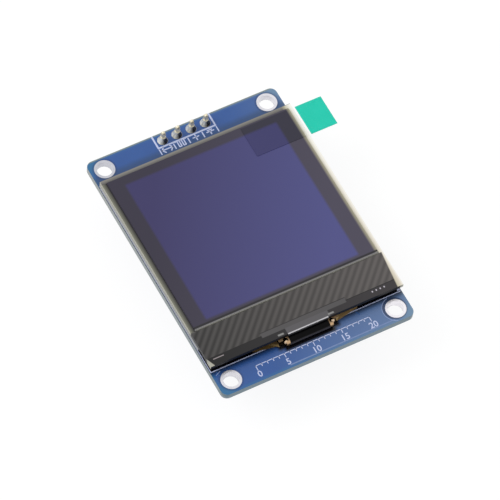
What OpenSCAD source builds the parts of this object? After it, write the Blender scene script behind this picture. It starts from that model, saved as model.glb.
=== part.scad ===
// Small OLED display module: a sealed glass panel taped to a circuit board, with a flat flexible cable
// folded round its lower edge and a four-pin header soldered at the other end.
// Millimetres. Origin: centre of the four mounting holes, on the board's front face.
// +X runs across the display, +Y towards the pin header, +Z out of the display face.

/* [Glass panel] */
// Width of the two glass plates
panel_w = 33.9; // [33:0.1:37]
// Length of the front glass plate
panel_l = 36.9; // [36.8:0.1:41]
// Thickness of each glass plate
glass_t = 0.7; // [0.5:0.05:1.1]
// Length of the ledge where the front glass runs on past the rear glass
ledge_l = 4.1; // [3.9:0.1:5]
// Border of clear glass round the conductor tracks and the seal
glass_border = 0.5; // [0.3:0.1:0.8]
// Thickness of the conductor tracks under the front glass
track_t = 0.03; // [0.02:0.01:0.06]
// Width of the seal that joins the two plates
seal_w = 1; // [0.6:0.1:1.4]
// Thickness of the seal
seal_t = 0.03; // [0.03:0.01:0.08]
// Distance from each side of the glass to the lit area
active_side = 3.52; // [2.6:0.02:4.5]
// Distance from the header end of the glass to the lit area
active_top = 1.97; // [1.7:0.01:3]
// Distance from the cable end of the glass to the lit area
active_foot = 8.07; // [7.8:0.01:10]
// Thickness of the light-emitting layers
emitter_t = 0.02; // [0.01:0.01:0.03]
// Depth of the pocket in the rear glass
pocket_d = 0.3; // [0.2:0.05:0.4]
// Width of the step between the seal and the pocket
pocket_step = 0.6; // [0.3:0.1:1]
// Thickness of the drying sheet in the pocket
drying_t = 0.15; // [0.1:0.05:0.2]
// Gap round the drying sheet
drying_gap = 1.5; // [0.5:0.1:3]

/* [Films on the glass] */
// Thickness of the polarizer
polarizer_t = 0.16; // [0.1:0.02:0.25]
// Clear glass left at the sides and the header end of the polarizer
polarizer_inset = 0.75; // [0.4:0.05:1.2]
// Bare glass between the cable end of the panel and the polarizer
contact_strip = 6.6; // [5.5:0.1:7.4]
// Thickness of the protective film
film_t = 0.05; // [0.04:0.01:0.1]
// Inset of the protective film from the polarizer edge
film_inset = 0.1; // [0.05:0.05:0.4]
// Width of the pull tape along the side of the panel
pull_w = 5.6; // [4:0.1:8]
// Distance from the header end of the glass to the pull tape
pull_top = 1.05; // [0.9:0.05:6]
// Length of the pull tape that lies over the panel
pull_overlap = 9.5; // [6:0.1:14]
// Length of the pull tape past the side of the panel
pull_reach = 4.95; // [4.4:0.05:9]
// Thickness of the pull tape
pull_t = 0.06; // [0.04:0.01:0.1]
// Clearance between the side of the glass and the coloured grip
grip_gap = 0.25; // [0.1:0.05:0.6]
// Thickness of the coloured grip
grip_t = 0.06; // [0.04:0.01:0.1]

/* [Circuit board] */
// Board left bare past the header end of the panel
header_strip = 5; // [4.4:0.1:8]
// Board left bare past the cable end of the panel
foot_strip = 4.5; // [4.3:0.1:8]
// Overhang of the glass past each side of the board
glass_overhang = 0.05; // [0:0.05:0.2]
// Thickness of the board
board_t = 1.2; // [0.8:0.1:1.6]
// Corner radius of the board
board_corner_r = 1.1; // [0.5:0.1:2]
// Thickness of the copper pads and plating
copper_t = 0.035; // [0.035:0.005:0.07]
// Clear diameter of the mounting holes
hole_d = 2.5; // [2.2:0.1:2.7]
// Width of the plated rim round each mounting hole
hole_rim = 0.43; // [0.3:0.01:0.5]
// Distance from the board side to the mounting hole centres
hole_inset_x = 2.4; // [2.2:0.05:3]
// Distance from the board end to the mounting hole centres
hole_inset_y = 2.2; // [2.1:0.05:2.4]

/* [Foam tape] */
// Thickness of the foam tape between board and panel
foam_t = 0.6; // [0.5:0.1:0.9]
// Inset of the foam tape from the rear glass edge
foam_inset = 1.4; // [0.8:0.1:3]
// Gap between the foam tape and the cable tail
foam_gap = 0.6; // [0.3:0.1:1.5]

/* [Flat cable] */
// Thickness of the cable's base film
flex_t = 0.08; // [0.06:0.01:0.12]
// Thickness of the black cover film
cover_t = 0.04; // [0.03:0.01:0.06]
// Width of the bonded head of the cable
bond_w = 14.8; // [12:0.1:20]
// Length of the bonded head
bond_l = 0.9; // [0.7:0.1:1.1]
// Distance from the glass edge to the bonded head
bond_gap = 1.05; // [0.9:0.05:1.2]
// Width of the cable root at the glass edge
root_w = 10.4; // [9.6:0.1:11.6]
// How far the root runs past the glass edge
root_past = 0.35; // [0.2:0.05:0.5]
// Width of the black cover on the neck
neck_w = 7; // [5:0.1:8]
// Bare base film on each side of the black cover
neck_margin = 0.6; // [0.3:0.05:0.7]
// Radius of the relief notches beside the neck
notch_r = 0.42; // [0.2:0.01:0.5]
// How far the folded neck stands out past the glass edge
bulge = 1.15; // [1.05:0.05:2]
// Width of the soldered tail of the cable
tail_w = 19.2; // [17.6:0.1:24]
// Length of the tail, from the fold to its end
tail_l = 11; // [8:0.1:14]
// Slope of the shoulders where the neck widens into the tail
shoulder_l = 1.1; // [0.5:0.1:2]
// Size of the clipped corners on the shoulders
shoulder_clip = 0.5; // [0.2:0.1:1]
// Length of the black cover that runs on under the tail
cover_run = 1.6; // [0.5:0.1:3]
// Pitch of the tail's soldered contacts
contact_pitch = 1; // [0.8:0.05:1]
// Number of soldered contacts
contact_n = 17; // [11:1:17]
// Width of each contact
contact_w = 0.6; // [0.3:0.05:0.6]
// Length of the solder past the end of the tail
contact_l = 0.6; // [0.3:0.05:1]
// Width of the resin bead between glass edge and neck
bead_d = 0.2; // [0.1:0.05:0.3]
// Height of the resin bead
bead_h = 0.6; // [0.3:0.05:0.7]

/* [Parts on the ledge] */
// Length of the driver chip
chip_l = 12; // [8:0.5:16]
// Width of the driver chip
chip_w = 1; // [0.6:0.1:1.4]
// Height of the driver chip
chip_h = 0.3; // [0.2:0.05:0.4]
// Thickness of the black resin coat on the ledge
coat_t = 0.15; // [0.1:0.05:0.3]
// Gap between the resin coat and the cable end of the glass
coat_gap = 0.3; // [0.2:0.1:0.6]

/* [Pin header] */
// Spacing of the header pins
pin_pitch = 2.54; // [2:0.02:2.54]
// Number of header pins
pin_n = 4; // [2:1:5]
// Side of the square pins
pin_w = 0.64; // [0.5:0.01:0.64]
// Length of pin that shows past the board's front
pin_front = 2.5; // [1.4:0.1:3]
// Length of pin past the plastic spacer
pin_back = 6; // [3:0.5:11]
// Length of the tapered pin ends
pin_taper = 0.4; // [0.2:0.05:0.6]
// Distance from the header end of the board to the pins
pin_edge = 1.4; // [1.3:0.05:2.5]
// Height of the plastic spacer
spacer_h = 2.54; // [1.5:0.02:3]
// Width of the plastic spacer
spacer_w = 2.5; // [2.2:0.1:2.5]
// Clipped corners between the spacer's cells
spacer_clip = 0.45; // [0.2:0.05:0.7]
// Diameter of the plated header holes
drill_d = 1; // [0.95:0.05:1.1]
// Diameter of the header pads
pad_d = 1.75; // [1.5:0.05:1.9]
// Height of the solder cones on the pins
cone_h = 1.15; // [0.7:0.05:1.3]
// Diameter of the solder cones at their top
cone_top_d = 0.96; // [0.92:0.02:1.1]

/* [Parts on the back] */
// Length of the small ceramic capacitors and resistors
chip_part_l = 1.6; // [1.4:0.1:2]
// Width of the small ceramic capacitors and resistors
chip_part_w = 0.8; // [0.6:0.05:1.2]
// Height of the capacitors
capacitor_h = 0.8; // [0.5:0.05:1.2]
// Height of the resistors
resistor_h = 0.45; // [0.3:0.05:0.6]
// Length of the metal end caps
end_cap_l = 0.35; // [0.2:0.05:0.5]
// How far the solder pads run past the parts
pad_past = 0.45; // [0.3:0.05:0.6]
// From the header pins to the row of pull-up resistors
pull_up_drop = 5.6; // [4.5:0.1:8]
// From the header pins to the row with the voltage regulator
supply_drop = 8.8; // [7.6:0.1:14]
// From the side of the board to the voltage regulator
supply_inset = 7.9; // [5.5:0.1:9]
// From the voltage regulator to the capacitor on each side of it
supply_gap = 3.3; // [2.6:0.1:4]
// From the end of the cable's tail to the row of parts behind it
cable_row_gap = 2.2; // [0:0.1:8]
// Spacing of the capacitors in that row
cable_row_pitch = 4; // [2:0.1:5]
// From the side of the board to the address resistors
select_inset = 6.9; // [4:0.1:8]
// Spacing of the address resistors
select_pitch = 2.4; // [1.4:0.1:4]
// Length of the voltage regulator's body
regulator_l = 2.9; // [2.7:0.1:3.1]
// Width of the voltage regulator's body
regulator_w = 1.3; // [1.2:0.1:1.6]
// Height of the voltage regulator's body
regulator_h = 1; // [0.8:0.1:1.2]
// Tip to tip span of the regulator's leads
lead_span = 2.4; // [2.3:0.1:2.8]
// Width of the regulator's leads
lead_w = 0.4; // [0.3:0.05:0.5]
// Thickness of the regulator's leads
lead_t = 0.13; // [0.1:0.01:0.18]
// Spacing of the regulator's outer leads
lead_pitch = 1.9; // [1.7:0.1:2]

/* [Hidden] */
$fn = 48;
cut = 1;
hole_pitch_x = panel_w - 2 * glass_overhang - 2 * hole_inset_x;
board_w = panel_w - 2 * glass_overhang;
board_l = panel_l + header_strip + foot_strip;
hole_pitch_y = board_l - 2 * hole_inset_y;
hole_r = hole_d / 2;

// Levels of the panel's layers above the board's front face
rear_glass_z = foam_t;
seal_z = rear_glass_z + glass_t;
track_z = seal_z + seal_t;
front_glass_z = track_z + track_t;
polarizer_z = front_glass_z + glass_t;
film_z = polarizer_z + polarizer_t;
pull_z = film_z + film_t;

// Ends of the panel and of what lies on it
panel_y0 = foot_strip - board_l / 2;
panel_y1 = panel_y0 + panel_l;
rear_glass_y0 = panel_y0 + ledge_l;
rear_glass_l = panel_l - ledge_l;
rear_glass_yc = rear_glass_y0 + rear_glass_l / 2;
active_w = panel_w - 2 * active_side;
active_l = panel_l - active_top - active_foot;
active_yc = panel_y1 - active_top - active_l / 2;
seal_out_w = panel_w - 2 * glass_border;
seal_out_l = rear_glass_l - 2 * glass_border;
pocket_w = seal_out_w - 2 * (seal_w + pocket_step);
pocket_l = seal_out_l - 2 * (seal_w + pocket_step);
polarizer_w = panel_w - 2 * polarizer_inset;
polarizer_y0 = panel_y0 + contact_strip;
polarizer_l = panel_y1 - polarizer_inset - polarizer_y0;
pull_yc = panel_y1 - pull_top - pull_w / 2;

// Path of the folded cable: upper run under the ledge, half turn, lower run over the board
tail_z = copper_t + cover_t;
fold_r = (track_z - tail_z) / 2;
fold_y = panel_y0 - bulge + fold_r + cover_t;
fold_z = tail_z + fold_r;
film_w = neck_w + 2 * neck_margin;
tail_end = fold_y + tail_l;
bond_end = panel_y0 + bond_gap + bond_l;
chip_yc = (bond_end + rear_glass_y0) / 2;

pin_y = board_l / 2 - pin_edge;
drill_r = drill_d / 2;
pad_r = pad_d / 2;
spacer_z = -board_t - copper_t;

// Rows and columns that the parts on the back stand in
pull_up_y = pin_y - pull_up_drop;
supply_y = pin_y - supply_drop;
cable_row_y = tail_end + cable_row_gap;
supply_x = supply_inset - board_w / 2;
select_x = board_w / 2 - select_inset;

// Places of the parts on the back, as [x, y, turn]
regulator_place = [supply_x, supply_y, 0];
capacitor_places = concat(
    [for (s = [-1, 1]) [supply_x + s * supply_gap, supply_y, 90]],
    [for (i = [0:3]) [(i - 1.5) * cable_row_pitch, cable_row_y, 90]]
);
resistor_places = concat(
    [for (s = [-1, 1]) [s * pin_pitch / 2, pull_up_y, 90]],
    [[select_x, cable_row_y, 0]],
    [for (i = [0:1]) [select_x, supply_y - i * select_pitch, 0]]
);
// Pads left empty so that the second bus address can be chosen
spare_pad_places = [[select_x, supply_y + select_pitch, 0]];
// The regulator's three leads, as [x, side]
lead_places = [[-lead_pitch / 2, -1], [lead_pitch / 2, -1], [0, 1]];
// Height of the regulator's body above the board
regulator_lift = copper_t + 0.1;

// ---------- shared forms ----------

module plate(w, l, t) {
    translate([-w / 2, -l / 2, 0]) cube([w, l, t]);
}

module rounded_plate(w, l, r, t) {
    linear_extrude(t) {
        square([w - 2 * r, l], center = true);
        square([w, l - 2 * r], center = true);
        for (sx = [-1, 1], sy = [-1, 1])
            translate([sx * (w / 2 - r), sy * (l / 2 - r)]) circle(r);
    }
}

// A flat ring or a plated barrel
module tube(r_out, r_in, z0, z1) {
    translate([0, 0, z0]) difference() {
        cylinder(r = r_out, h = z1 - z0);
        translate([0, 0, -cut]) cylinder(r = r_in, h = z1 - z0 + 2 * cut);
    }
}

// Plated hole: barrel through the board with a pad on each face
module plated_hole(r_hole, r_pad) {
    tube(r_hole + copper_t, r_hole, -board_t, 0);
    tube(r_pad, r_hole, 0, copper_t);
    tube(r_pad, r_hole, -board_t - copper_t, -board_t);
}

function hole_place(i) = [
    (i % 2 == 0 ? -1 : 1) * hole_pitch_x / 2,
    (i < 2 ? -1 : 1) * hole_pitch_y / 2
];

function pin_x(i) = (i - (pin_n - 1) / 2) * pin_pitch;

// Turns the back of the board into a level work surface
module on_back(place) {
    translate([place[0], place[1], -board_t]) mirror([0, 0, 1]) rotate(place[2]) children();
}

// ---------- circuit board ----------

module pcb() {
    color("#41659b") difference() {
        translate([0, 0, -board_t]) rounded_plate(board_w, board_l, board_corner_r, board_t);
        for (i = [0:3])
            translate(concat(hole_place(i), [-board_t - cut]))
                cylinder(r = hole_r + copper_t, h = board_t + 2 * cut);
        for (i = [0:pin_n - 1])
            translate([pin_x(i), pin_y, -board_t - cut])
                cylinder(r = drill_r + copper_t, h = board_t + 2 * cut);
    }
}

module hole_plating(i) {
    color("#d8dbe0") translate(hole_place(i)) plated_hole(hole_r, hole_r + hole_rim);
}

// ---------- glass panel ----------

module foam_tape() {
    color("#26262a") difference() {
        translate([0, rear_glass_yc, 0])
            plate(panel_w - 2 * foam_inset, rear_glass_l - 2 * foam_inset, foam_t);
        // Room for the soldered tail of the cable
        translate([-tail_w / 2 - foam_gap, panel_y0, -cut])
            cube([tail_w + 2 * foam_gap, tail_end + contact_l + foam_gap - panel_y0, foam_t + 2 * cut]);
    }
}

module rear_glass() {
    color("#b9bcae") translate([0, rear_glass_yc, rear_glass_z]) difference() {
        plate(panel_w, rear_glass_l, glass_t);
        translate([0, 0, glass_t - pocket_d]) plate(pocket_w, pocket_l, pocket_d + cut);
    }
}

module drying_sheet() {
    color("white") translate([0, rear_glass_yc, rear_glass_z + glass_t - pocket_d])
        plate(pocket_w - 2 * drying_gap, pocket_l - 2 * drying_gap, drying_t);
}

module edge_seal() {
    color("#8d8a72") translate([0, rear_glass_yc, seal_z]) difference() {
        plate(seal_out_w, seal_out_l, seal_t);
        translate([0, 0, -cut]) plate(seal_out_w - 2 * seal_w, seal_out_l - 2 * seal_w, seal_t + 2 * cut);
    }
}

module emitter_layer() {
    color("#4a4877") translate([0, active_yc, track_z - emitter_t]) plate(active_w, active_l, emitter_t);
}

module conductor_tracks() {
    color("#525150") translate([0, (panel_y0 + panel_y1) / 2, track_z])
        plate(panel_w - 2 * glass_border, panel_l - 2 * glass_border, track_t);
}

module front_glass() {
    color("#8f8f86") translate([0, (panel_y0 + panel_y1) / 2, front_glass_z]) plate(panel_w, panel_l, glass_t);
}

module polarizer() {
    color("#49465a") translate([0, polarizer_y0 + polarizer_l / 2, polarizer_z])
        plate(polarizer_w, polarizer_l, polarizer_t);
}

module protective_film() {
    color("#55527c") translate([0, polarizer_y0 + polarizer_l / 2, film_z])
        plate(polarizer_w - 2 * film_inset, polarizer_l - 2 * film_inset, film_t);
}

module pull_tape() {
    color("#9fd8c8") translate([panel_w / 2 - pull_overlap, pull_yc - pull_w / 2, pull_z])
        cube([pull_overlap + pull_reach, pull_w, pull_t]);
}

// Stuck to the underside of the tape where it stands out past the glass
module pull_grip() {
    color("#2fcbaa") translate([panel_w / 2 + grip_gap, pull_yc - pull_w / 2, pull_z - grip_t])
        cube([pull_reach - grip_gap, pull_w, grip_t]);
}

// ---------- parts under the ledge ----------

module driver_chip() {
    color("#3a3a40") translate([0, chip_yc, track_z - chip_h]) plate(chip_l, chip_w, chip_h);
}

module ledge_coat() {
    coat_y0 = panel_y0 + max(coat_gap, glass_border);
    color("#1c1b1d") difference() {
        translate([-panel_w / 2 + glass_border, coat_y0, track_z - coat_t])
            cube([panel_w - 2 * glass_border, rear_glass_y0 - coat_y0, coat_t]);
        translate([0, chip_yc, track_z - chip_h - cut]) plate(chip_l, chip_w, chip_h + 2 * cut);
        translate([0, 0, track_z - coat_t - cut]) linear_extrude(coat_t + 2 * cut) flex_upper_outline();
    }
}

// ---------- folded flat cable ----------

// Flat pattern of the upper run: bonded head, root and neck, with a relief notch in each inner corner
module flex_upper_outline() {
    difference() {
        union() {
            translate([-bond_w / 2, panel_y0 + bond_gap]) square([bond_w, bond_l]);
            translate([-root_w / 2, panel_y0 - root_past]) square([root_w, root_past + bond_gap + bond_l]);
            translate([-film_w / 2, panel_y0 - bulge]) square([film_w, bulge]);
        }
        for (s = [-1, 1]) translate([s * film_w / 2, panel_y0 - root_past]) circle(notch_r);
    }
}

// Flat pattern of the lower run: the neck widens over sloped shoulders into the tail
module flex_lower_outline() {
    half = [
        [film_w / 2, fold_y],
        [tail_w / 2 - shoulder_clip, fold_y + shoulder_l - shoulder_clip / 2],
        [tail_w / 2, fold_y + shoulder_l + shoulder_clip],
        [tail_w / 2, tail_end]
    ];
    polygon(concat(half, [for (i = [len(half) - 1:-1:0]) [-half[i][0], half[i][1]]]));
}

// Strip of a given width that follows the fold, between two radii
module fold_strip(w, r_out, r_in) {
    translate([-w / 2, fold_y, fold_z]) rotate([90, 0, 90]) linear_extrude(w) difference() {
        circle(r_out);
        circle(r_in);
        translate([0, -r_out - cut]) square(2 * (r_out + cut));
    }
}

module flex_film() {
    color("#a8742c") {
        difference() {
            union() {
                translate([0, 0, track_z - flex_t]) linear_extrude(flex_t) intersection() {
                    flex_upper_outline();
                    translate([-bond_w, fold_y]) square([2 * bond_w, bond_end - fold_y]);
                }
                fold_strip(film_w, fold_r, fold_r - flex_t);
            }
            for (s = [-1, 1]) translate([s * film_w / 2, panel_y0 - root_past, fold_z])
                cylinder(r = notch_r, h = fold_r + cut);
        }
        translate([0, 0, tail_z]) linear_extrude(flex_t) flex_lower_outline();
    }
}

module flex_cover() {
    cover_y = panel_y0 - bead_d;
    color("#141416") {
        translate([-neck_w / 2, fold_y, track_z]) cube([neck_w, cover_y - fold_y, cover_t]);
        fold_strip(neck_w, fold_r + cover_t, fold_r);
        translate([-neck_w / 2, fold_y, tail_z - cover_t]) cube([neck_w, cover_run, cover_t]);
    }
}

// Fillet of clear resin that backs the cable where it leaves the glass
module resin_bead() {
    color("#e8eaea") translate([-neck_w / 2, panel_y0, track_z]) rotate([90, 0, 90])
        linear_extrude(neck_w) intersection() {
            translate([-bead_d, 0]) square([bead_d, bead_h]);
            scale([bead_d / bead_h, 1]) circle(bead_h);
        }
}

function contact_x(i) = (i - (contact_n - 1) / 2) * contact_pitch;

module flex_pads() {
    color("#d9b56a") for (i = [0:contact_n - 1])
        translate([contact_x(i) - contact_w / 2, tail_end - contact_l, 0])
            cube([contact_w, 2 * contact_l, copper_t]);
}

// Solder under the end of the tail, with a sloped toe past it
module flex_solder() {
    profile = [
        [-contact_l, copper_t], [contact_l, copper_t], [contact_l / 3, tail_z + flex_t],
        [0, tail_z + flex_t], [0, tail_z], [-contact_l, tail_z]
    ];
    color("#c9ccd2") for (i = [0:contact_n - 1])
        translate([contact_x(i) - contact_w / 2, tail_end, 0]) rotate([90, 0, 90])
            linear_extrude(contact_w) polygon(profile);
}

// ---------- pin header ----------

module header_pads() {
    color("#d9b56a") for (i = [0:pin_n - 1])
        translate([pin_x(i), pin_y, 0]) plated_hole(drill_r, pad_r);
}

// One octagonal cell per pin, moulded in one piece
module header_spacer() {
    x = pin_pitch / 2;
    y = spacer_w / 2;
    c = spacer_clip;
    cell = [
        [-x, -y + c], [-x + c, -y], [x - c, -y], [x, -y + c],
        [x, y - c], [x - c, y], [-x + c, y], [-x, y - c]
    ];
    color("#1b1b1e") translate([0, pin_y, spacer_z - spacer_h]) linear_extrude(spacer_h) difference() {
        for (i = [0:pin_n - 1]) translate([pin_x(i), 0]) polygon(cell);
        for (i = [0:pin_n - 1]) translate([pin_x(i), 0]) square(pin_w, center = true);
    }
}

// Side view of a pin, tapered at both ends
module pin_profile() {
    w = pin_w / 2;
    tip = pin_w / 4;
    low = spacer_z - spacer_h - pin_back;
    polygon([
        [-w, low + pin_taper], [-tip, low], [tip, low], [w, low + pin_taper],
        [w, pin_front - pin_taper], [tip, pin_front], [-tip, pin_front], [-w, pin_front - pin_taper]
    ]);
}

module header_pin(i) {
    color("#cfc39a") translate([pin_x(i), pin_y, 0]) intersection() {
        translate([0, pin_w, 0]) rotate([90, 0, 0]) linear_extrude(2 * pin_w) pin_profile();
        translate([-pin_w, 0, 0]) rotate([90, 0, 90]) linear_extrude(2 * pin_w) pin_profile();
    }
}

// Solder fills the plated hole and rises round the pin in a hollow-sided cone
module header_solder(i) {
    steps = 6;
    foot_r = pad_r - copper_t;
    top_r = cone_top_d / 2;
    side = [for (k = [0:steps]) let (u = k / steps)
        [top_r + (foot_r - top_r) * pow(1 - u, 2.2), copper_t + (cone_h - copper_t) * u]];
    color("#d5d8dc") translate([pin_x(i), pin_y, 0]) difference() {
        rotate_extrude() polygon(concat([[0, spacer_z], [drill_r, spacer_z], [drill_r, copper_t]],
                                        side, [[0, cone_h]]));
        translate([-pin_w / 2, -pin_w / 2, spacer_z - cut]) cube([pin_w, pin_w, cone_h - spacer_z + 2 * cut]);
    }
}

// ---------- parts on the back of the board ----------

// A ceramic body between two slightly larger metal end caps
module chip_part(h) {
    rim = 0.02;
    translate([0, 0, copper_t]) {
        translate([0, 0, rim]) plate(chip_part_l - 2 * end_cap_l, chip_part_w - 2 * rim, h - 2 * rim);
        for (s = [-1, 1]) translate([s * (chip_part_l - end_cap_l) / 2, 0, 0])
            plate(end_cap_l, chip_part_w, h);
    }
}

module chip_part_pads() {
    for (s = [-1, 1]) translate([s * (chip_part_l / 2 + (pad_past - end_cap_l) / 2), 0, 0])
        plate(pad_past + end_cap_l, chip_part_w, copper_t);
}

// Wedges of solder at both ends of a part
module chip_part_solder(h) {
    for (s = [0, 180]) rotate(s) translate([chip_part_l / 2, chip_part_w / 2, copper_t])
        rotate([90, 0, 0]) linear_extrude(chip_part_w)
            polygon([[0, 0], [pad_past * 0.9, 0], [pad_past * 0.4, h * 0.2], [0, h * 0.65]]);
}

module capacitor(i) {
    color("#b08a62") on_back(capacitor_places[i]) chip_part(capacitor_h);
}

module resistor(i) {
    color("#222226") on_back(resistor_places[i]) chip_part(resistor_h);
}

module regulator_body() {
    draft = 0.08;
    function side(w) = [
        [-w / 2 + draft, 0], [w / 2 - draft, 0], [w / 2, regulator_h * 0.45],
        [w / 2 - draft, regulator_h], [-w / 2 + draft, regulator_h], [-w / 2, regulator_h * 0.45]
    ];
    color("#242428") on_back(regulator_place) difference() {
        translate([0, 0, regulator_lift]) intersection() {
            translate([0, regulator_w, 0]) rotate([90, 0, 0])
                linear_extrude(2 * regulator_w) polygon(side(regulator_l));
            translate([-regulator_l, 0, 0]) rotate([90, 0, 90])
                linear_extrude(2 * regulator_l) polygon(side(regulator_w));
        }
        gull_wings();
    }
}

// Leads run out of the body, turn down and end in flat feet
module gull_wings() {
    root = regulator_w / 2 - 0.2;
    bend = regulator_w / 2 + 0.12;
    top = regulator_lift + regulator_h * 0.45 + lead_t / 2;
    foot = lead_span / 2;
    for (p = lead_places) translate([p[0], 0, 0]) scale([1, p[1], 1])
        translate([-lead_w / 2, 0, 0]) rotate([90, 0, 90]) linear_extrude(lead_w) polygon([
            [root, top - lead_t], [bend - lead_t / 2, top - lead_t], [bend, copper_t + lead_t],
            [bend + lead_t / 2, copper_t], [foot, copper_t], [foot, copper_t + lead_t],
            [bend + lead_t, copper_t + lead_t], [bend + lead_t / 2, top], [root, top]
        ]);
}

module regulator_leads() {
    color("#c4c7cc") on_back(regulator_place) gull_wings();
}

module lead_pads() {
    for (p = lead_places) translate([p[0], p[1] * lead_span / 2, 0])
        plate(2 * lead_w, 2 * pad_past, copper_t);
}

module lead_solder() {
    for (p = lead_places) translate([p[0], 0, 0]) scale([1, p[1], 1])
        translate([-lead_w / 2, lead_span / 2, copper_t]) rotate([90, 0, 90])
            linear_extrude(lead_w) polygon([[0, 0], [pad_past * 0.8, 0], [0, lead_t]]);
}

module smd_pads() {
    color("#d9b56a") {
        for (place = concat(capacitor_places, resistor_places, spare_pad_places))
            on_back(place) chip_part_pads();
        on_back(regulator_place) lead_pads();
    }
}

module smd_solder() {
    color("#c9ccd2") {
        for (place = capacitor_places) on_back(place) chip_part_solder(capacitor_h);
        for (place = resistor_places) on_back(place) chip_part_solder(resistor_h);
        on_back(regulator_place) lead_solder();
    }
}

// ---------- the assembly ----------

pcb();
foam_tape();
rear_glass();
drying_sheet();
edge_seal();
emitter_layer();
conductor_tracks();
front_glass();
polarizer();
protective_film();
pull_tape();
pull_grip();
driver_chip();
ledge_coat();
flex_film();
flex_cover();
resin_bead();
flex_pads();
flex_solder();
header_pads();
header_spacer();
smd_pads();
smd_solder();
regulator_body();
regulator_leads();
for (i = [0:3]) hole_plating(i);
for (i = [0:pin_n - 1]) header_pin(i);
for (i = [0:pin_n - 1]) header_solder(i);
for (i = [0:len(capacitor_places) - 1])
    capacitor(i);
for (i = [0:len(resistor_places) - 1])
    resistor(i);
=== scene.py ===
# Looks of a small OLED display module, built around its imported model.
# Lengths are in millimetres and are turned into metres where they are used. Only the floor's and the
# lamp's are written in metres.
import math

import bmesh
import bpy
from mathutils import Matrix, Vector


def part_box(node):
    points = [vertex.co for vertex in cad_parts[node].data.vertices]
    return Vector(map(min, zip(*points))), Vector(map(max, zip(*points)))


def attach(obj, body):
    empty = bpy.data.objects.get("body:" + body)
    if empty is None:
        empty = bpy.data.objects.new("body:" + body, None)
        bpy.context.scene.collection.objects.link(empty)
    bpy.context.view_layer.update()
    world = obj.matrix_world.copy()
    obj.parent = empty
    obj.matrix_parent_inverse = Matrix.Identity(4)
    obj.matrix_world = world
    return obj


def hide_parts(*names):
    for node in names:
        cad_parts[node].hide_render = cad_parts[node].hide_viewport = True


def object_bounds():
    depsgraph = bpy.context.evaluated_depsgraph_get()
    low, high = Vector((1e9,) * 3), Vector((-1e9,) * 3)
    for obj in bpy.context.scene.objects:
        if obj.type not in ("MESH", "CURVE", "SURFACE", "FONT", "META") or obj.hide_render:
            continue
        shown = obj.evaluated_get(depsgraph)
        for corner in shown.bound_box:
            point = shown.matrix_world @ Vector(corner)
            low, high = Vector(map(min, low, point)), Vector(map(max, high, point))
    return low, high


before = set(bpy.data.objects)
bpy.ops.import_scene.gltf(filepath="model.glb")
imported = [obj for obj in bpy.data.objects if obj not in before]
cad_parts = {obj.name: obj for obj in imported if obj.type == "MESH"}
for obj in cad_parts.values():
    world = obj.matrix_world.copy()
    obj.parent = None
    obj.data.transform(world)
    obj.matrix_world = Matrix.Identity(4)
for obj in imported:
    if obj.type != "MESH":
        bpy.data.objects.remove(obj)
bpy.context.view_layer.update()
MM = 0.001

# ---------------------------------------------------------------------------------------------------------
# Circuit board
# Glass-fibre laminate under a glossy blue solder mask, routed out of a larger sheet, so that its sides show
# the bare grey laminate. The mask looks lighter and greener where there is no copper under it.


def srgb(red, green, blue):
    """Linear colour from screen values of 0 to 255"""
    screen = [c / 255 for c in (red, green, blue)]
    return (*[c / 12.92 if c <= 0.04045 else ((c + 0.055) / 1.055) ** 2.4 for c in screen], 1.0)


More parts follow.
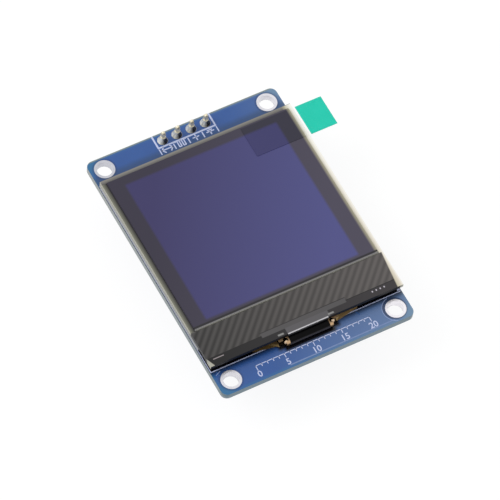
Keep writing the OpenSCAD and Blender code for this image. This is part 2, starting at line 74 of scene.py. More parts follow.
class Finish:
    """A procedural material, with short ways to add the nodes that this file uses"""

    def __init__(self, name, color, roughness, metallic=0.0, **sockets):
        self.mat = bpy.data.materials.new(name)
        self.mat.use_nodes = True
        self.tree = self.mat.node_tree
        self.shader = self.tree.nodes["Principled BSDF"]
        self.shader.inputs["Base Color"].default_value = color
        self.shader.inputs["Roughness"].default_value = roughness
        self.shader.inputs["Metallic"].default_value = metallic
        for socket, value in sockets.items():
            self.shader.inputs[socket.replace("_", " ")].default_value = value
        self.place = None

    def add(self, kind, **settings):
        made = self.tree.nodes.new(kind)
        for key, value in settings.items():
            setattr(made, key, value)
        return made

    def feed(self, socket, value):
        """Links a socket to a value's output, or sets the value on it"""
        if isinstance(value, bpy.types.NodeSocket):
            self.tree.links.new(value, socket)
        else:
            socket.default_value = value

    def calc(self, operation, *values, clamp=False):
        made = self.add("ShaderNodeMath", operation=operation, use_clamp=clamp)
        for socket, value in zip(made.inputs, values):
            self.feed(socket, value)
        return made.outputs[0]

    def times(self, first, second):
        return self.calc("MULTIPLY", first, second)

    def mix(self, factor, first, second):
        """Colour that goes from first to second as factor goes from 0 to 1"""
        made = self.add("ShaderNodeMix", data_type="RGBA")
        self.feed(made.inputs[0], factor)
        self.feed(made.inputs[6], first)
        self.feed(made.inputs[7], second)
        return made.outputs[2]

    def paint(self, base, over, *areas):
        """Base colour with another one over it, as far as all the areas are 1"""
        factor = areas[0]
        for area in areas[1:]:
            factor = self.times(factor, area)
        return self.mix(factor, base, over)

    def point(self):
        """Position on the object, in millimetres"""
        if self.place is None:
            coords = self.add("ShaderNodeTexCoord").outputs["Object"]
            scale = self.add("ShaderNodeVectorMath", operation="SCALE")
            self.feed(scale.inputs[0], coords)
            scale.inputs["Scale"].default_value = 1 / MM
            split = self.add("ShaderNodeSeparateXYZ")
            self.feed(split.inputs[0], scale.outputs[0])
            self.place = (scale.outputs[0], *split.outputs)
        return self.place

    def facing(self):
        """X, Y and Z of the way the surface faces"""
        split = self.add("ShaderNodeSeparateXYZ")
        self.feed(split.inputs[0], self.add("ShaderNodeTexCoord").outputs["Normal"])
        return tuple(split.outputs)

    def noise(self, scale, detail=2.0, stretch=(1, 1, 1)):
        """Cloudy pattern from 0 to 1, with scale in cycles per millimetre"""
        made = self.add("ShaderNodeTexNoise")
        made.inputs["Scale"].default_value = scale
        made.inputs["Detail"].default_value = detail
        mapping = self.add("ShaderNodeMapping")
        mapping.inputs["Scale"].default_value = stretch
        self.feed(mapping.inputs[0], self.point()[0])
        self.feed(made.inputs["Vector"], mapping.outputs[0])
        return made.outputs[0]

    def step(self, value, edge, soft=0.03):
        """0 below the edge and 1 above it"""
        made = self.add("ShaderNodeMapRange")
        self.feed(made.inputs["Value"], value)
        made.inputs["From Min"].default_value = edge - soft
        made.inputs["From Max"].default_value = edge + soft
        return made.outputs[0]

    def until(self, value, edge, soft=0.03):
        """1 below the edge and 0 above it"""
        return self.calc("SUBTRACT", 1.0, self.step(value, edge, soft))

    def band(self, value, low, high, soft=0.03):
        """1 between two edges"""
        return self.times(self.step(value, low, soft), self.until(value, high, soft))

    def patch(self, low, high, soft=0.03):
        """1 inside a rectangle seen from the front"""
        _, x, y, _ = self.point()
        return self.times(self.band(x, low[0], high[0], soft), self.band(y, low[1], high[1], soft))

    def distance_to(self, centre):
        """Distance from an axis that stands on the board"""
        _, x, y, _ = self.point()
        dx = self.calc("SUBTRACT", x, centre[0])
        dy = self.calc("SUBTRACT", y, centre[1])
        squares = self.calc("ADD", self.times(dx, dx), self.times(dy, dy))
        return self.calc("SQRT", squares)

    def color(self, value):
        self.feed(self.shader.inputs["Base Color"], value)

    def mottle(self, dark, light, *pattern):
        """Colour that drifts between two shades in a cloudy pattern"""
        self.color(self.mix(self.noise(*pattern), dark, light))

    def roughness(self, low, high, pattern):
        made = self.add("ShaderNodeMapRange")
        self.feed(made.inputs["Value"], pattern)
        made.inputs["To Min"].default_value = low
        made.inputs["To Max"].default_value = high
        self.feed(self.shader.inputs["Roughness"], made.outputs[0])

    def sheen(self, low, high, *pattern):
        """Roughness that drifts between two values in a cloudy pattern"""
        self.roughness(low, high, self.noise(*pattern))

    def relief(self, height, depth):
        """Bump of a depth in millimetres"""
        made = self.add("ShaderNodeBump")
        made.inputs["Distance"].default_value = depth * MM
        self.feed(made.inputs["Height"], height)
        self.feed(self.shader.inputs["Normal"], made.outputs[0])

    def bumps(self, depth, *pattern):
        """Cloudy relief of a depth in millimetres"""
        self.relief(self.noise(*pattern), depth)


def box_mm(node):
    """Lowest and highest corner of a CAD piece"""
    low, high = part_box(node)
    return low / MM, high / MM


def select_only(piece):
    bpy.ops.object.select_all(action="DESELECT")
    piece.select_set(True)
    bpy.context.view_layer.objects.active = piece


def show(piece, finish, slot, *stands_for):
    """Gives a finished piece its material, its place on the body and the pieces it stands for"""
    piece.data.materials.clear()
    piece.data.materials.append(finish.mat)
    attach(piece, "root")
    if stands_for:
        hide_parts(*stands_for)
    return piece


def soften(piece, width, segments=2, angle=35):
    """Rounds the sharp edges and smooths the curved faces"""
    select_only(piece)
    if width:
        rounding = piece.modifiers.new("rounding", "BEVEL")
        rounding.width = width * MM
        rounding.segments = segments
        rounding.limit_method = "ANGLE"
        rounding.angle_limit = math.radians(angle)
        bpy.ops.object.modifier_apply(modifier=rounding.name)
    bpy.ops.object.shade_smooth_by_angle(angle=math.radians(angle))
    flats = piece.modifiers.new("flat_faces", "WEIGHTED_NORMAL")
    flats.keep_sharp = True
    bpy.ops.object.modifier_apply(modifier=flats.name)


weld_gap = 0.0005


def dress(node, name, finish, slot, width, segments=2):
    """A merged copy of a CAD piece, with its edges rounded, shown in place of it"""
    piece = bpy.data.objects.new(name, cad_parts[node].data.copy())
    bpy.context.scene.collection.objects.link(piece)
    select_only(piece)
    if piece.data.has_custom_normals:
        bpy.ops.mesh.customdata_custom_splitnormals_clear()
    bpy.ops.object.mode_set(mode="EDIT")
    bpy.ops.mesh.select_all(action="SELECT")
    bpy.ops.mesh.remove_doubles(threshold=weld_gap * MM)
    bpy.ops.mesh.dissolve_limited(angle_limit=math.radians(1))
    bpy.ops.mesh.normals_make_consistent(inside=False)
    bpy.ops.object.mode_set(mode="OBJECT")
    soften(piece, width, segments)
    return show(piece, finish, slot, node)


board_low, board_high = box_mm("pcb")
hole_boxes = [box_mm(f"hole_plating_{i}") for i in range(1, 5)]
hole_centres = [(low + high) / 2 for low, high in hole_boxes]
hole_pad_r = (hole_boxes[0][1].x - hole_boxes[0][0].x) / 2
panel_low, panel_high = box_mm("front_glass")
cable_low = box_mm("flex_film")[0]
outline_low = panel_low.y + 0.13

board_finish = Finish("blue_board", srgb(44, 87, 156), 0.22)
_, bx, by, _ = board_finish.point()
_, end_way, up = board_finish.facing()
front = board_finish.step(up, 0, 0.1)
mask_cloud = board_finish.noise(0.35, 3)
mask_color = board_finish.mix(mask_cloud, srgb(40, 83, 151), srgb(48, 91, 160))
# Painted light: the mask is painted lighter towards the lower right of the board
board_light_axis = board_finish.calc("SUBTRACT", bx, board_finish.times(by, 0.35))
mask_color = board_finish.paint(mask_color, srgb(96, 123, 166), board_finish.step(board_light_axis, 11, 11))

# Bare laminate under the mask along the rim, and more strongly at the corners
rim_w = 0.4
rim_strength = 0.4
corner_reach = 2.6
corner_strength = 0.8
copper_low = (board_low.x + rim_w, board_low.y + rim_w)
copper_high = (board_high.x - rim_w, board_high.y - rim_w)
copper = board_finish.patch(copper_low, copper_high, 0.2)
reach = board_finish.calc("ADD", board_finish.calc("ABSOLUTE", bx), board_finish.calc("ABSOLUTE", by))
corner = board_finish.step(reach, board_high.x + board_high.y - corner_reach, 1.2)
bare = board_finish.times(board_finish.calc("SUBTRACT", 1.0, copper), rim_strength)
bare = board_finish.calc("MAXIMUM", bare, board_finish.times(corner, corner_strength))
corner_color = board_finish.mix(board_finish.step(bx, 6, 10), srgb(44, 114, 156), srgb(116, 148, 174))
mask_color = board_finish.paint(mask_color, corner_color, bare)
# Painted highlight: a pale band along the top edge of the board
top_edge_highlight = board_finish.step(by, board_high.y - 0.24, 0.07)
mask_color = board_finish.paint(mask_color, srgb(140, 148, 134), top_edge_highlight, 0.75)

# Dark halo round each hole's rim, partly a clearance ring in the mask and partly painted shade, deepest at
# the lower right hole and shifted up and left there
for number, centre in enumerate(hole_centres, 1):
    strength, shift = (0.7, 0.14) if number == 2 else (0.3, 0)
    away = board_finish.distance_to((centre.x - shift, centre.y + shift))
    clearance_and_shade = board_finish.band(away, hole_pad_r - 0.2, hole_pad_r + 0.3, 0.08)
    mask_color = board_finish.paint(mask_color, srgb(16, 30, 66), clearance_and_shade, front, strength)

# Painted shade between panel and header, and near black painted shade under the panel's ledge and round its
# cable
neck_side = 4.5
wing_side = 5.4
near_header = board_finish.band(by, panel_high.y, panel_high.y + 1.95, 0.45)
mask_color = board_finish.paint(mask_color, srgb(40, 66, 96), near_header, front, 0.55)
shade_past_outline = board_finish.times(board_finish.step(by, outline_low - 0.46, 0.42), board_finish.until(by, 0, 0.1))
mask_color = board_finish.paint(mask_color, srgb(18, 20, 30), shade_past_outline, front, 0.9)
shade_under_panel = board_finish.step(by, outline_low, 0.08)
shade_under_panel = board_finish.times(shade_under_panel, board_finish.until(by, panel_high.y, 0.1))
by_neck = board_finish.patch((-neck_side, cable_low.y - 0.6), (neck_side, outline_low), 0.32)
by_wings = board_finish.patch((-wing_side, cable_low.y - 0.05), (wing_side, outline_low + 0.3), 0.3)
shade_under_panel = board_finish.calc("MAXIMUM", shade_under_panel, board_finish.calc("MAXIMUM", by_neck, by_wings))
mask_color = board_finish.paint(mask_color, srgb(8, 7, 15), shade_under_panel, front)

# Laminate on the sides, with painted light: the foot side darker than the others, which are paler towards the
# top
cloth = board_finish.noise(1.6, 4, (1, 1, 9))
lit_left_side = board_finish.mix(board_finish.step(by, -2, 24), srgb(106, 124, 130), srgb(142, 149, 146))
laminate = board_finish.mix(board_finish.step(end_way, -0.7, 0.1), srgb(101, 127, 141), lit_left_side)
laminate = board_finish.paint(laminate, srgb(84, 100, 112), cloth, 0.3)
steep = board_finish.calc("ABSOLUTE", up)
laminate = board_finish.paint(laminate, srgb(96, 136, 158), board_finish.step(steep, 0.3, 0.2))
board_finish.color(board_finish.mix(board_finish.step(steep, 0.85, 0.1), laminate, mask_color))
board_finish.roughness(0.2, 0.3, mask_cloud)
board_finish.bumps(0.004, 3.5, 4)
dress("pcb", "board", board_finish, "board", 0.05)

# ---------------------------------------------------------------------------------------------------------
# Tracks and vias under the solder mask
# Etched copper lines that show as low ridges in the mask, and plated holes that join the two sides.

# Strokes that cross each other differ in height, so that no two tops share a plane
stroke_heights = (1, 0.84, 0.92)


def strokes(name, lines, width, level, thickness):
    """A thin raised layer of straight strokes with round ends"""
    piece = bpy.data.objects.new(name, bpy.data.meshes.new(name))
    bpy.context.scene.collection.objects.link(piece)
    select_only(piece)
    bpy.ops.object.mode_set(mode="EDIT")
    for line in lines:
        for number, ((x0, y0), (x1, y1)) in enumerate(zip(line, line[1:])):
            height = thickness * stroke_heights[number % len(stroke_heights)]
            middle = level + (height / 2 if level >= 0 else thickness - height / 2)
            bpy.ops.mesh.primitive_cube_add(
                size=MM, location=Vector(((x0 + x1) / 2, (y0 + y1) / 2, middle)) * MM,
                rotation=(0, 0, math.atan2(y1 - y0, x1 - x0)),
                scale=(math.hypot(x1 - x0, y1 - y0) + width, width, height))
    bpy.ops.mesh.select_mode(type="EDGE")
    bpy.ops.mesh.select_all(action="DESELECT")
    shape = bmesh.from_edit_mesh(piece.data)
    for edge in shape.edges:
        edge.select = abs(edge.verts[0].co.z - edge.verts[1].co.z) > thickness / 2 * MM
    bmesh.update_edit_mesh(piece.data)
    bpy.ops.mesh.bevel(offset=0.46 * width * MM, segments=3, affect="EDGES")
    bpy.ops.object.mode_set(mode="OBJECT")
    return piece


def arc(centre, radius, start, end, steps=18):
    """Points on an arc, with its angles in degrees"""
    turns = [math.radians(start + (end - start) * i / steps) for i in range(steps + 1)]
    return [(centre[0] + radius * math.cos(t), centre[1] + radius * math.sin(t)) for t in turns]


track_t = 0.012
front_tracks = [
    [(-15.9, -18.9), (-15.9, -19.5), (-15.4, -20.0)],
    [(8.6, -18.9), (8.9, -19.5)],
]
track_finish = Finish("masked_track", srgb(66, 108, 168), 0.22)
track_finish.mottle(srgb(52, 92, 150), srgb(68, 106, 162), 0.8)
track_finish.bumps(0.003, 5)
show(strokes("front_tracks", front_tracks, 0.16, 0, track_t), track_finish, "board")

edge_finish = Finish("edge_track", srgb(116, 138, 184), 0.22)
edge_finish.mottle(srgb(108, 131, 178), srgb(124, 146, 190), 0.8)
edge_track = [[(-5, board_low.y + 0.5), (13.4, board_low.y + 0.54)]]
show(strokes("edge_track", edge_track, 0.2, 0, track_t), edge_finish, "board")

pin_boxes = [box_mm(f"header_pin_{i}") for i in range(1, 5)]
pins = [(low + high) / 2 for low, high in pin_boxes]
pin_y = pins[0].y
pitch = pins[1].x - pins[0].x
back_z = board_low.z
caps = [sum(box_mm(f"capacitor_{i}"), Vector()) / 2 for i in range(1, 7)]
resistors = [sum(box_mm(f"resistor_{i}"), Vector()) / 2 for i in range(1, 6)]
land_off = 0.9
back_tracks = [
    [(pins[0].x, pin_y), (pins[0].x, 19.2), (pins[0].x - 1.1, 18.1), (pins[0].x - 1.1, 8.2), (-2.2, 5.5),
     (-2.2, -3.4)],
    [(pins[1].x, pin_y), (pins[1].x, resistors[0].y + land_off)],
    [(pins[2].x, pin_y), (pins[2].x, resistors[1].y + land_off)],
    [(pins[1].x, resistors[0].y - land_off), (pins[1].x, 6.4), (0.6, 4.5), (0.6, -8.9), (2, -10.3),
     (2, -17.2)],
    [(pins[2].x, resistors[1].y - land_off), (pins[2].x, 7.0), (3.2, 5.1), (3.2, -3.6)],
    [(resistors[2].x, resistors[2].y), (13, -9), (13, -15.5), (11, -17.5), (8.4, -17.5)],
    [(resistors[3].x + land_off, resistors[3].y), (13.4, resistors[3].y), (13.4, -5),
     (resistors[2].x + land_off, resistors[2].y)],
    [(caps[2].x, caps[2].y - land_off), (caps[2].x, -14.2), (-5.2, -15.0), (-5.2, -17.2)],
    [(caps[3].x, caps[3].y - land_off), (caps[3].x, -17.2)],
    [(caps[4].x, caps[4].y + land_off), (4.4, 2.2), (8.2, 6.0), (8.2, resistors[4].y)],
]
show(strokes("back_tracks", back_tracks, 0.22, back_z - track_t, track_t), track_finish, "board")

rim_finish = Finish("tinned_rim", srgb(206, 206, 210), 0.3, 1.0)
# Painted light: the tinned rims and vias are painted brighter towards the lower right of the board
_, rim_x, rim_y, _ = rim_finish.point()
rim_light_axis = rim_finish.calc("SUBTRACT", rim_x, rim_finish.times(rim_y, 0.6))
rim_light_gradient = rim_finish.step(rim_light_axis, 0, 26)
rim_dull = rim_finish.mix(rim_light_gradient, srgb(178, 180, 190), srgb(232, 228, 234))
rim_bright = rim_finish.mix(rim_light_gradient, srgb(216, 216, 222), srgb(252, 250, 254))
rim_finish.color(rim_finish.mix(rim_finish.noise(1.2, 3), rim_dull, rim_bright))
rim_finish.sheen(0.22, 0.4, 2.5, 3)
rim_finish.bumps(0.012, 1.5, 2)

via_r = 0.3
via_t = 0.03
via_rim_w = 0.14
via_dip = 0.022
via_places = [(-2.2, -3.4), (2, -17.2), (3.2, -3.6), (8.4, -17.5), (8.2, 10.0), (-13.8, 9.4), (-9, 6.2),
              (6, -10.4), (-10.6, -4.2), (14.2, 2.0), (-14.6, -9.5), (0.6, 12.4)]
bpy.ops.object.select_all(action="DESELECT")
bpy.ops.mesh.primitive_cylinder_add(vertices=20, radius=via_r * MM, depth=via_t * MM, location=(0, 0, 0))
first_via = bpy.context.object
bpy.ops.object.mode_set(mode="EDIT")
bpy.ops.mesh.select_mode(type="FACE")
bpy.ops.mesh.select_all(action="DESELECT")
shape = bmesh.from_edit_mesh(first_via.data)
for face in shape.faces:
    face.select = face.normal.z < -0.9
bmesh.update_edit_mesh(first_via.data)
bpy.ops.mesh.inset(thickness=via_rim_w * MM)
bpy.ops.transform.translate(value=(0, 0, via_dip * MM))
bpy.ops.object.mode_set(mode="OBJECT")
for number, (x, y) in enumerate(via_places, 1):
    via = first_via.copy()
    via.data = first_via.data.copy()
    via.name = f"via_{number}"
    via.data.transform(Matrix.Translation(Vector((x, y, back_z)) * MM))
    bpy.context.scene.collection.objects.link(via)
    soften(via, 0)
    show(via, rim_finish, "plating")
bpy.data.objects.remove(first_via)

# ---------------------------------------------------------------------------------------------------------
# Plated rims of the mounting holes
# Tinned copper: a ring on each face of the board, joined by the lining of the hole.

for i in range(1, 5):
    dress(f"hole_plating_{i}", f"hole_rim_{i}", rim_finish, "plating", 0.02)

# ---------------------------------------------------------------------------------------------------------
# White print on the board
# Screen-printed ink: the outline of the panel, the box round the header, pin signs and a millimetre scale.

ink_t = 0.015
ink_finish = Finish("white_ink", srgb(198, 208, 242), 0.5)
ink_finish.mottle(srgb(182, 193, 232), srgb(212, 220, 248), 4, 3)
ink_finish.bumps(0.004, 12, 2)

outline_x = panel_high.x - 0.21
outline_high = panel_high.y - 0.2
panel_outline = [[(board_high.x - 0.1, outline_low), (-outline_x, outline_low), (-outline_x, outline_high),
                  (outline_x, outline_high), (outline_x, outline_low)]]
show(strokes("panel_outline", panel_outline, 0.15, 0, ink_t), ink_finish, "white_ink")
# A short pale stroke in the white ink at the right end of the panel outline
pale_corner_spot = [[(16.42, outline_low + 0.34), (16.62, outline_low + 0.4)]]
show(strokes("pale_corner_spot", pale_corner_spot, 0.3, 0, ink_t), ink_finish, "white_ink")

header_side = 2 * pitch
header_low = pin_y - 1.05
header_high = board_high.y - 0.15
header_box = [[(-header_side, header_high), (-header_side, header_low), (header_side, header_low),
               (header_side, header_high)]]
show(strokes("header_box", header_box, 0.28, 0, ink_t), ink_finish, "white_ink")

# Signs for data, clock, supply and ground, to be read from the header side
signs = [
    [[(-0.85, 0), (0.85, 0)], [(-0.45, 0.4), (-0.85, 0), (-0.45, -0.4)],
     [(0.45, 0.4), (0.85, 0), (0.45, -0.4)]],
    [[(-0.85, -0.4), (-0.5, -0.4), (-0.5, 0.4), (-0.15, 0.4), (-0.15, -0.4), (0.2, -0.4), (0.2, 0.4),
      (0.55, 0.4), (0.55, -0.4), (0.85, -0.4)]],
    [[(-0.45, 0), (0.45, 0)], [(0, -0.42), (0, 0.42)]],
    [[(0, 0.42), (0, 0.02)], [(-0.55, 0.02), (0.55, 0.02)], [(-0.34, -0.2), (0.34, -0.2)],
     [(-0.14, -0.42), (0.14, -0.42)]],
]
sign_y = pin_y - 1.68
sign_w = 1.1
sign_h = 1.3
sign_lines = []
for pin, sign in zip(pins, signs):
    for line in sign:
        sign_lines.append([(pin.x - sign_w * x, sign_y - sign_h * y) for x, y in line])
for cell in range(-2, 3):
    sign_lines.append([(cell * pitch, header_low - 0.3), (cell * pitch, header_low - 1.2)])
show(strokes("pin_signs", sign_lines, 0.2, 0, ink_t), ink_finish, "white_ink")

# Millimetre scale along the foot of the board
scale_y = board_low.y + 2.68
scale_half = 10
scale_lines = [[(-scale_half, scale_y), (scale_half, scale_y)]]
for mark in range(2 * scale_half + 1):
    tall = {0: 0.8, 5: 0.65}.get(mark % 10, 0.4)
    scale_lines.append([(mark - scale_half, scale_y), (mark - scale_half, scale_y - tall)])
show(strokes("scale_marks", scale_lines, 0.14, 0, ink_t), ink_finish, "white_ink")

faint_ink = Finish("faint_ink", srgb(150, 168, 210), 0.5)
faint_ink.mottle(srgb(120, 142, 192), srgb(170, 186, 224), 3)
hole_arc = arc(hole_centres[1], hole_pad_r + 0.5, 100, 250)
side_mark = [(-15.35, -18.94), (-16.29, -19.4)]
show(strokes("hole_arc", [hole_arc, side_mark], 0.09, 0, ink_t), faint_ink, "white_ink")


def digits(text, x, y, size, level, behind=False):
    """Plain figures as a raised mesh, turned over for the back of the board"""
    bpy.ops.object.select_all(action="DESELECT")
    bpy.ops.object.text_add(location=Vector((x, y, level)) * MM, rotation=(0, math.pi if behind else 0, 0))
    label = bpy.context.object
    label.name = f"figures_{text}_behind" if behind else f"figures_{text}"
    label.data.body = text
    label.data.size = size * MM
    label.data.align_x = "CENTER"
    label.data.offset = 0.02 * MM
    label.data.extrude = ink_t / 2 * MM
    label.data.resolution_u = 4
    bpy.ops.object.convert(target="MESH")
    label = bpy.context.object
    bpy.ops.object.transform_apply(location=True, rotation=True, scale=True)
    bpy.ops.object.mode_set(mode="EDIT")
    bpy.ops.mesh.select_all(action="SELECT")
    bpy.ops.mesh.remove_doubles(threshold=weld_gap * MM)
    bpy.ops.mesh.normals_make_consistent(inside=False)
    bpy.ops.object.mode_set(mode="OBJECT")
    return show(label, ink_finish, "white_ink")


scale_figures_y = scale_y - 2.0
for mark in range(0, 2 * scale_half + 1, 5):
    digits(str(mark), mark - scale_half, scale_figures_y, 1.5, ink_t / 2)

# Print on the back: pin numbers, and boxes round the small parts
part_boxes = []
box_short = 0.62
box_long = 1.25
for place in caps + resistors:
    upright = abs(place.x) < 7 and place not in caps[:2]
    along, beside = (box_short, box_long) if upright else (box_long, box_short)
    part_boxes.append([(place.x - along, place.y - beside), (place.x + along, place.y - beside),
                       (place.x + along, place.y + beside), (place.x - along, place.y + beside),
                       (place.x - along, place.y - beside)])
spacer_low, spacer_high = box_mm("header_spacer")
spacer_line = spacer_low.y - 0.2
part_boxes.append([(spacer_low.x - 0.2, spacer_line), (spacer_high.x + 0.2, spacer_line)])
show(strokes("back_print", part_boxes, 0.13, back_z - ink_t, ink_t), ink_finish, "white_ink")
pin_figures_y = spacer_low.y - 1.55
for number, pin in enumerate(pins, 1):
    digits(str(number), pin.x, pin_figures_y, 1.3, back_z - ink_t / 2, behind=True)

# ---------------------------------------------------------------------------------------------------------
# Small parts on the back
# Chip capacitors and resistors between tinned end caps, and a regulator in a black moulding, reflow soldered.

solder_finish = Finish("bright_solder", srgb(200, 200, 202), 0.22, 1.0)
solder_finish.mottle(srgb(176, 176, 180), srgb(224, 222, 218), 2.2, 3)
solder_finish.sheen(0.14, 0.34, 3, 3)
solder_finish.bumps(0.04, 2.6, 2)
gold_finish = Finish("gold_pad", srgb(214, 176, 108), 0.3, 1.0)
gold_finish.mottle(srgb(200, 160, 92), srgb(226, 190, 124), 2)
gold_finish.sheen(0.22, 0.42, 3)
ceramic_finish = Finish("tan_ceramic", srgb(160, 122, 84), 0.5)
ceramic_finish.mottle(srgb(146, 108, 72), srgb(176, 138, 98), 3, 3)
ceramic_finish.bumps(0.005, 12)
glaze_finish = Finish("black_glaze", srgb(14, 14, 17), 0.3)
glaze_finish.mottle(srgb(10, 10, 13), srgb(22, 22, 26), 4)
glaze_finish.sheen(0.25, 0.4, 4)
end_cap_w = 0.33


def chip_part(node, name, finish, slot):
    """A chip part with a coloured middle and tinned ends"""
    piece = dress(node, name, finish, slot, 0.035)
    piece.data.materials.append(solder_finish.mat)
    low, high = box_mm(node)
    middle = (low + high) / 2
    long_way = 0 if high.x - low.x > high.y - low.y else 1
    reach = (high - low)[long_way] / 2 - end_cap_w
    for face in piece.data.polygons:
        if abs(face.center[long_way] / MM - middle[long_way]) > reach:
            face.material_index = 1


for i in range(1, 7):
    chip_part(f"capacitor_{i}", f"chip_capacitor_{i}", ceramic_finish, "ceramic")
for i in range(1, 6):
    chip_part(f"resistor_{i}", f"chip_resistor_{i}", glaze_finish, "resistor_glaze")

moulding_finish = Finish("regulator_moulding", srgb(20, 20, 22), 0.5)
regulator_low, regulator_high = box_mm("regulator_body")
dimple_r = 0.17
dimple_at = (regulator_low.x + 0.45, regulator_high.y - 0.42)
dimple = moulding_finish.step(moulding_finish.distance_to(dimple_at), dimple_r, 0.03)
moulding_finish.mottle(srgb(16, 16, 18), srgb(30, 30, 32), 5)
grain = moulding_finish.times(moulding_finish.noise(16, 3), 0.12)
moulding_finish.relief(moulding_finish.calc("ADD", grain, dimple), 0.06)
lead_finish = Finish("tinned_lead", srgb(190, 192, 196), 0.3, 1.0)
lead_finish.mottle(srgb(172, 174, 178), srgb(206, 208, 212), 3)
lead_finish.sheen(0.22, 0.42, 4)
dress("regulator_body", "regulator", moulding_finish, "black_plastic", 0.05)
dress("regulator_leads", "regulator_legs", lead_finish, "lead_metal", 0.02)
dress("smd_pads", "part_lands", gold_finish, "gold", 0.01)
dress("smd_solder", "part_solder", solder_finish, "solder", 0.03)

# ---------------------------------------------------------------------------------------------------------
# Pin header
# Square plated brass pins in a moulded black spacer behind the board, soldered on the front. The solder
# climbs each pin in a hollow-sided cone, with painted shade on the side towards the panel and painted light
# on the other.

pin_finish = Finish("plated_pin", srgb(236, 226, 196), 0.22, 0.6)
pin_finish.mottle(srgb(222, 208, 168), srgb(246, 240, 222), 2, 2, (1, 1, 0.3))
pin_finish.bumps(0.01, 6, 2, (1, 1, 0.1))
cone_finish = Finish("lit_and_shaded_solder", srgb(214, 210, 198), 0.2, 0.4)
# Painted light and shade: near white on the side away from the panel, near black on the side towards it
cone_x, cone_y, _ = cone_finish.facing()
shaded_way = cone_finish.calc("SUBTRACT", cone_finish.times(cone_x, 0.85), cone_finish.times(cone_y, 0.5))
painted_shade_side = cone_finish.step(shaded_way, 0.1, 0.4)
cone_finish.color(cone_finish.mix(painted_shade_side, srgb(255, 253, 240), srgb(24, 24, 30)))
cone_finish.sheen(0.15, 0.3, 3, 2)
cone_finish.bumps(0.03, 2.4, 2)
land_finish = Finish("tinned_land", srgb(150, 150, 156), 0.3, 1.0)
land_finish.mottle(srgb(120, 120, 128), srgb(176, 176, 180), 3)
spacer_finish = Finish("black_moulding", srgb(18, 18, 20), 0.45)
spacer_finish.mottle(srgb(14, 14, 16), srgb(26, 26, 28), 2)
spacer_finish.sheen(0.35, 0.55, 3)
spacer_finish.bumps(0.008, 14, 3)
dress("header_spacer", "header_block", spacer_finish, "black_plastic", 0.1)
dress("header_pads", "header_lands", land_finish, "gold", 0.01)
for i in range(1, 5):
    dress(f"header_pin_{i}", f"pin_{i}", pin_finish, "pin_metal", 0.06)
    dress(f"header_solder_{i}", f"solder_cone_{i}", cone_finish, "solder", 0)

# ---------------------------------------------------------------------------------------------------------
# Foam tape
# Black double-sided foam holds the panel on the board, with an opening for the tail of the cable.

foam_finish = Finish("black_foam", srgb(22, 22, 24), 0.9)
foam_finish.mottle(srgb(14, 14, 16), srgb(36, 36, 38), 7, 4)
foam_finish.bumps(0.05, 10, 4)
dress("foam_tape", "foam_pad", foam_finish, "foam", 0.06)

# ---------------------------------------------------------------------------------------------------------
# Glass plates with the lit area between them
# Display glass with ground edges. The rear plate is etched out for a drying sheet, and a bead of cured
# resin joins it to the front plate, which stands past it as a ledge with the metal tracks on its underside.

rear_finish = Finish("rear_plate", srgb(140, 140, 136), 0.2)
_, _, ry, _ = rear_finish.point()
ground = rear_finish.mix(rear_finish.noise(1.1, 3, (1, 1, 5)), srgb(128, 130, 132), srgb(158, 158, 154))
lower_end = rear_finish.mix(0.5, ground, srgb(104, 110, 116))
rear_finish.color(rear_finish.mix(rear_finish.step(ry, 4, 14), lower_end, ground))
dress("rear_glass", "rear_plate", rear_finish, "glass", 0.06)

drying_finish = Finish("drying_powder", srgb(222, 221, 214), 0.9)
drying_finish.mottle(srgb(212, 211, 204), srgb(232, 231, 226), 6, 4)
seal_finish = Finish("cured_seal", srgb(140, 136, 112), 0.4)
seal_finish.mottle(srgb(128, 124, 100), srgb(156, 152, 128), 2, 3)
lit_finish = Finish("vapour_layers", srgb(77, 74, 112), 0.2)
lit_finish.mottle(srgb(70, 68, 104), srgb(82, 80, 122), 0.3)
metal_tracks = Finish("metal_tracks", srgb(70, 68, 66), 0.35)
_, tx, _, _ = metal_tracks.point()
comb_pitch = 0.35
comb = metal_tracks.calc("SINE", metal_tracks.times(tx, 2 * math.pi / comb_pitch))
metal_tracks.color(metal_tracks.mix(metal_tracks.step(comb, 0, 0.3), srgb(40, 38, 40), srgb(104, 100, 96)))
inner_finishes = {"drying_sheet": drying_finish, "edge_seal": seal_finish, "emitter_layer": lit_finish,
                  "conductor_tracks": metal_tracks}
for node, finish in inner_finishes.items():
    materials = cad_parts[node].data.materials
    materials.clear()
    materials.append(finish.mat)

# The front plate's ledge shows the hatched tracks, a dark strip, the bonded end of the cable and small marks
polar_low, polar_high = box_mm("polarizer")
plate_finish = Finish("front_plate", srgb(100, 100, 96), 0.12, Specular_IOR_Level=0.4)
_, px, py, pz = plate_finish.point()
_, ny, nz = plate_finish.facing()
past_edge = panel_low.y - 0.5
strip_y = panel_low.y + 1.42
head_side = 7.4
neck_left = -3.45
neck_right = 3.6


def patched(base, color, low, high, soft):
    """Colour of the plate with a rectangle of another one on it"""
    return plate_finish.mix(plate_finish.patch(low, high, soft), base, color)


stripe_pitch = 1.412
stripe_shift = 0.43
lean = plate_finish.calc("ADD", plate_finish.calc("SUBTRACT", px, py), stripe_shift)
wave = plate_finish.calc("SINE", plate_finish.times(lean, 2 * math.pi / stripe_pitch))
stripes = plate_finish.calc("ADD", plate_finish.times(wave, 0.38), 0.5)
ledge_half_w = 17
